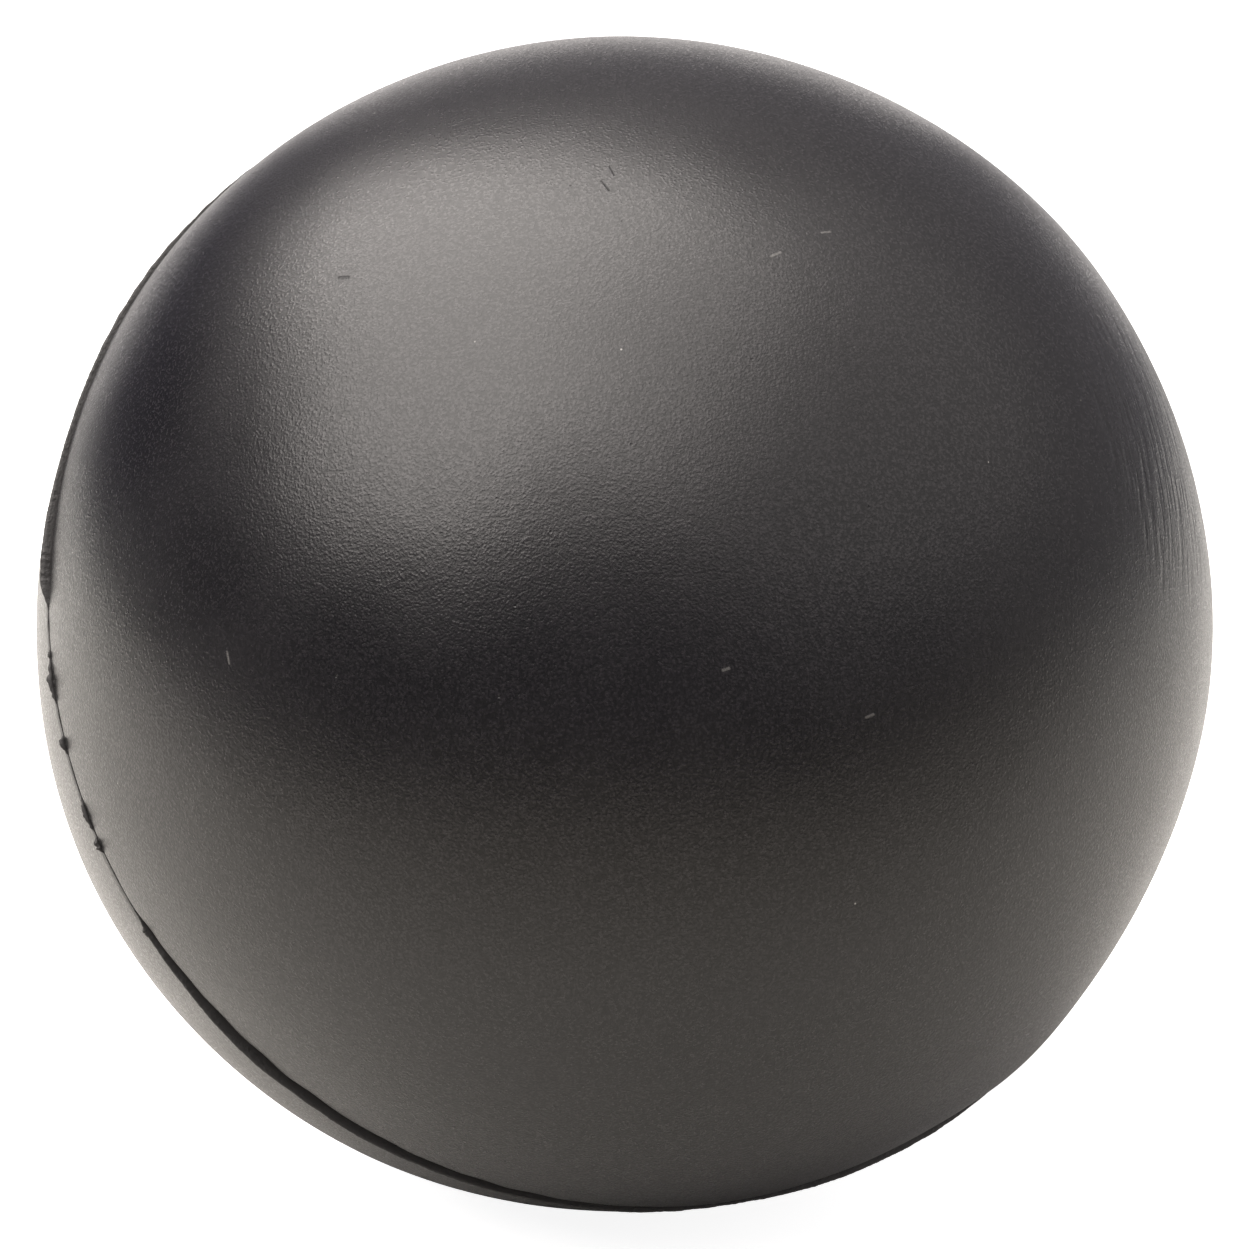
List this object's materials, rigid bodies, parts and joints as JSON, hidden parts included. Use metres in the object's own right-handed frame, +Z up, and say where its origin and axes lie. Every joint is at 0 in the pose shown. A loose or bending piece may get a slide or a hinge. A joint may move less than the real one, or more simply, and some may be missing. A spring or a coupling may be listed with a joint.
{
  "type": "case opening friction ball",
  "caption": "Soft black foam ball, held in the palm and pressed on a screwed watch case back to turn it open by friction.",
  "frame": {"origin": "centre of the ball", "axes": "+Z up as the ball lies on a bench. The mould axis, through the middle of both skin halves, leans 62.4 degrees from +Z and is turned 68.6 degrees clockwise from +X, so the front half faces mostly -Y. The bench is at Z = -32.5 mm."},
  "size_m": [0.065, 0.065, 0.065],
  "materials": {
    "foam": "matte",
    "skin": "satin",
    "flash": "matte"
  },
  "bodies": {
    "root": {"foam_core": "foam", "skin_front": "skin", "skin_back": "skin", "parting_flash": "flash", "vent_nibs": "flash"}
  },
  "joints": []
}
